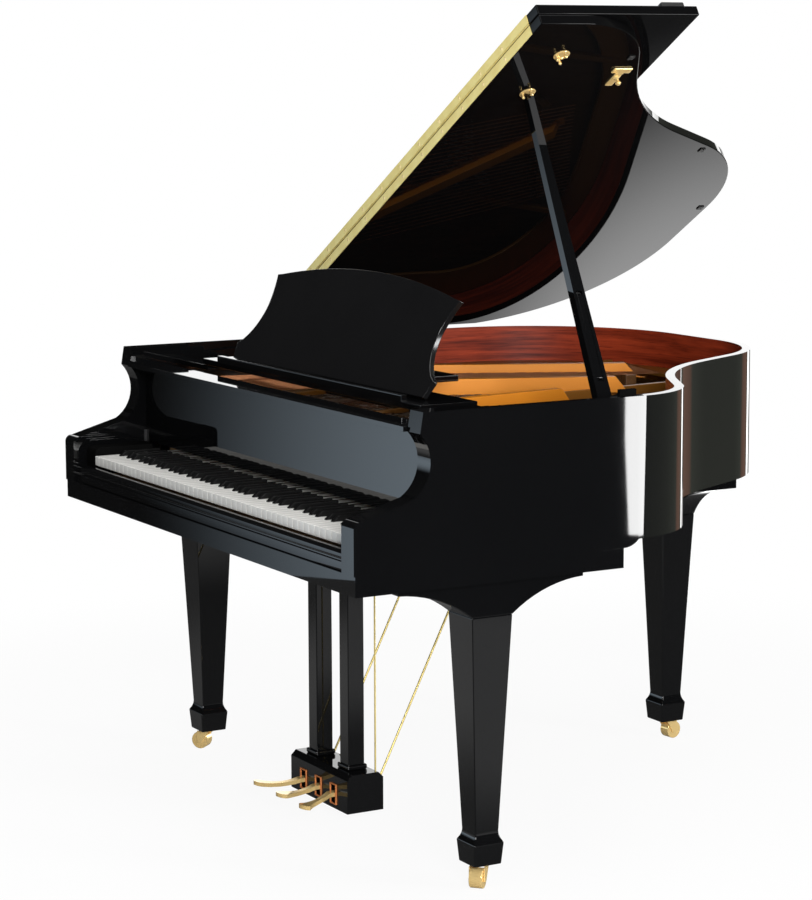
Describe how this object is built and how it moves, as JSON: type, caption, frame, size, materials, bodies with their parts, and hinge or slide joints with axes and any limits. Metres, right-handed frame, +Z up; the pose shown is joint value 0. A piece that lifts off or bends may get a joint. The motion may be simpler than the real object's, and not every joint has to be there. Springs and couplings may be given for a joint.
{
  "type": "grand piano",
  "caption": "Black baby grand piano with open propped lid, folded front flap, music desk, keyboard, pedal lyre and brass casters.",
  "frame": {"origin": "on the floor under the middle of the case", "axes": "+X to the treble side, +Y to the tail, +Z up"},
  "size_m": [1.4548, 1.478, 1.7703],
  "materials": {
    "ebony": "high gloss",
    "white_key": "satin",
    "black_key": "satin",
    "rim_wood": "satin",
    "spruce": "satin",
    "beech": "matt",
    "bronze_iron": "lacquered",
    "steel": "drawn",
    "brass": "polished",
    "rubber": "matt",
    "felt": "felt"
  },
  "bodies": {
    "case": {"outer_rim": "ebony", "inner_rim": "rim_wood", "keybed": "ebony", "key_slip": "ebony", "key_blocks": "ebony", "belly_rail": "rim_wood", "rim_braces": "spruce", "pin_block": "beech", "soundboard": "spruce", "soundboard_ribs": "spruce", "bridges": "beech", "cast_iron_plate": "bronze_iron", "tuning_pins": "steel", "strings": "steel", "shelf_rails": "ebony", "prop_bracket": "brass", "lid_hinge_case_leaves": "brass", "lyre_top_block": "ebony", "lyre_pillars": "ebony", "lyre_box": "ebony", "lyre_braces": "brass", "bass_leg": "ebony", "treble_leg": "ebony", "tail_leg": "ebony", "leg_brackets": "ebony", "fallboard_pivots": "brass"},
    "action": {"key_frame": "beech", "action_frame": "beech"},
    "white_keys": {"white_keys": "white_key"},
    "black_keys": {"black_keys": "black_key"},
    "white_key_hammers": {"white_key_hammers": "felt"},
    "black_key_hammers": {"black_key_hammers": "felt"},
    "dampers": {"dampers": "felt"},
    "fallboard": {"fallboard": "ebony"},
    "music_shelf": {"music_shelf": "ebony"},
    "music_desk": {"music_desk": "ebony"},
    "desk_strut": {"desk_strut": "ebony"},
    "prop_long": {"prop_long": "ebony"},
    "prop_short": {"prop_short": "ebony"},
    "left_pedal": {"left_pedal": "brass"},
    "middle_pedal": {"middle_pedal": "brass"},
    "right_pedal": {"right_pedal": "brass"},
    "left_pedal_rod": {"left_pedal_rod": "brass"},
    "middle_pedal_rod": {"middle_pedal_rod": "brass"},
    "right_pedal_rod": {"right_pedal_rod": "brass"},
    "lid": {"lid_main": "ebony", "lid_hinge_lid_leaves": "brass", "flap_hinge_lid_leaf": "brass", "prop_cups": "brass", "lid_latch": "brass", "lid_bumpers": "rubber"},
    "flap": {"lid_flap": "ebony", "flap_hinge_flap_leaf": "brass", "flap_bumpers": "rubber"},
    "bass_fork": {"bass_caster_fork": "brass"},
    "bass_wheel": {"bass_caster_wheel": "brass"},
    "treble_fork": {"treble_caster_fork": "brass"},
    "treble_wheel": {"treble_caster_wheel": "brass"},
    "tail_fork": {"tail_caster_fork": "brass"},
    "tail_wheel": {"tail_caster_wheel": "brass"}
  },
  "joints": [
    {"name": "una_corda_shift", "type": "slide", "parent": "case", "child": "action", "axis": [1, 0, 0], "range_m": [0, 0.0025]},
    {"name": "white_key_dip", "type": "hinge", "parent": "action", "child": "white_keys", "pos_m": [0, -0.483, 0.724], "axis": [1, 0, 0], "range_deg": [0, 2.6], "stiffness_Nm_per_rad": 60, "springref_deg": -1.72},
    {"name": "white_hammer_throw", "type": "hinge", "parent": "action", "child": "white_key_hammers", "pos_m": [0, -0.458, 0.838], "axis": [1, 0, 0], "range_deg": [0, 20.2]},
    {"name": "black_key_dip", "type": "hinge", "parent": "action", "child": "black_keys", "pos_m": [0, -0.483, 0.724], "axis": [1, 0, 0], "range_deg": [0, 2.6], "stiffness_Nm_per_rad": 60, "springref_deg": -1.72},
    {"name": "black_hammer_throw", "type": "hinge", "parent": "action", "child": "black_key_hammers", "pos_m": [0, -0.458, 0.838], "axis": [1, 0, 0], "range_deg": [0, 20.2]},
    {"name": "damper_lift", "type": "slide", "parent": "case", "child": "dampers", "axis": [0, 0, 1], "range_m": [0, 0.0072]},
    {"name": "fallboard_turn", "type": "hinge", "parent": "case", "child": "fallboard", "pos_m": [0, -0.539, 0.778], "axis": [1, 0, 0], "range_deg": [0, 90]},
    {"name": "shelf_slide", "type": "slide", "parent": "case", "child": "music_shelf", "axis": [0, 1, 0], "range_m": [0, 0.06]},
    {"name": "desk_fold", "type": "hinge", "parent": "music_shelf", "child": "music_desk", "pos_m": [0, -0.414, 0.9724], "axis": [-1, 0, 0], "range_deg": [0, 61.2]},
    {"name": "strut_swing", "type": "hinge", "parent": "music_desk", "child": "desk_strut", "pos_m": [0, -0.34804, 1.08449], "axis": [1, 0, 0], "range_deg": [0, 118.4]},
    {"name": "lid_hinge", "type": "hinge", "parent": "case", "child": "lid", "pos_m": [-0.72, 0, 0.99], "axis": [0, -1, 0], "range_deg": [0, 60]},
    {"name": "flap_fold", "type": "hinge", "parent": "lid", "child": "flap", "pos_m": [-0.73229, -0.19265, 1.01062], "axis": [0.859, 0, 0.512], "range_deg": [0, 180]},
    {"name": "prop_fold", "type": "hinge", "parent": "case", "child": "prop_long", "pos_m": [0.655, -0.124, 0.97], "axis": [-0.683, -0.6369, -0.3577], "range_deg": [0, 66]},
    {"name": "short_prop_swing", "type": "hinge", "parent": "prop_long", "child": "prop_short", "pos_m": [0.63139, -0.12035, 1.01702], "axis": [0, 0.997, -0.0775], "range_deg": [0, 50]},
    {"name": "left_pedal_press", "type": "hinge", "parent": "case", "child": "left_pedal", "pos_m": [-0.071, -0.389, 0.06], "axis": [1, 0, 0], "range_deg": [0, 6.1], "stiffness_Nm_per_rad": 40, "springref_deg": -2.86},
    {"name": "left_rod_lift", "type": "slide", "parent": "case", "child": "left_pedal_rod", "axis": [0, 0, 1], "range_m": [0, 0.0066]},
    {"name": "middle_pedal_press", "type": "hinge", "parent": "case", "child": "middle_pedal", "pos_m": [0, -0.389, 0.06], "axis": [1, 0, 0], "range_deg": [0, 6], "stiffness_Nm_per_rad": 40, "springref_deg": -2.86},
    {"name": "middle_rod_lift", "type": "slide", "parent": "case", "child": "middle_pedal_rod", "axis": [0, 0, 1], "range_m": [0, 0.0066]},
    {"name": "right_pedal_press", "type": "hinge", "parent": "case", "child": "right_pedal", "pos_m": [0.071, -0.389, 0.06], "axis": [1, 0, 0], "range_deg": [0, 6], "stiffness_Nm_per_rad": 40, "springref_deg": -2.86},
    {"name": "right_rod_lift", "type": "slide", "parent": "case", "child": "right_pedal_rod", "axis": [0, 0, 1], "range_m": [0, 0.0066]},
    {"name": "bass_caster_swivel", "type": "hinge", "parent": "case", "child": "bass_fork", "pos_m": [-0.64, -0.406, 0.046], "axis": [0, 0, 1], "continuous": true},
    {"name": "bass_wheel_roll", "type": "hinge", "parent": "bass_fork", "child": "bass_wheel", "pos_m": [-0.65379, -0.41757, 0.021], "axis": [0.6428, -0.766, 0], "continuous": true},
    {"name": "treble_caster_swivel", "type": "hinge", "parent": "case", "child": "treble_fork", "pos_m": [0.64, -0.406, 0.046], "axis": [0, 0, 1], "continuous": true},
    {"name": "treble_wheel_roll", "type": "hinge", "parent": "treble_fork", "child": "treble_wheel", "pos_m": [0.65228, -0.41916, 0.021], "axis": [0.7314, 0.682, 0], "continuous": true},
    {"name": "tail_caster_swivel", "type": "hinge", "parent": "case", "child": "tail_fork", "pos_m": [-0.16, 0.611, 0.046], "axis": [0, 0, 1], "continuous": true},
    {"name": "tail_wheel_roll", "type": "hinge", "parent": "tail_fork", "child": "tail_wheel", "pos_m": [-0.16219, 0.62887, 0.021], "axis": [-0.9925, -0.1219, 0], "continuous": true}
  ],
  "couplings": [
    {"joint": "white_hammer_throw", "follows": "white_key_dip", "ratio": 7.6923},
    {"joint": "black_hammer_throw", "follows": "black_key_dip", "ratio": 7.6923},
    {"joint": "strut_swing", "follows": "desk_fold", "ratio": 1.9314},
    {"joint": "left_pedal_press", "follows": "una_corda_shift", "rad_per_m": 41.888},
    {"joint": "left_rod_lift", "follows": "una_corda_shift", "ratio": 2.56},
    {"joint": "middle_rod_lift", "follows": "middle_pedal_press", "m_per_rad": 0.061115},
    {"joint": "right_rod_lift", "follows": "right_pedal_press", "m_per_rad": 0.061115},
    {"joint": "damper_lift", "follows": "right_pedal_press", "m_per_rad": 0.066845}
  ]
}
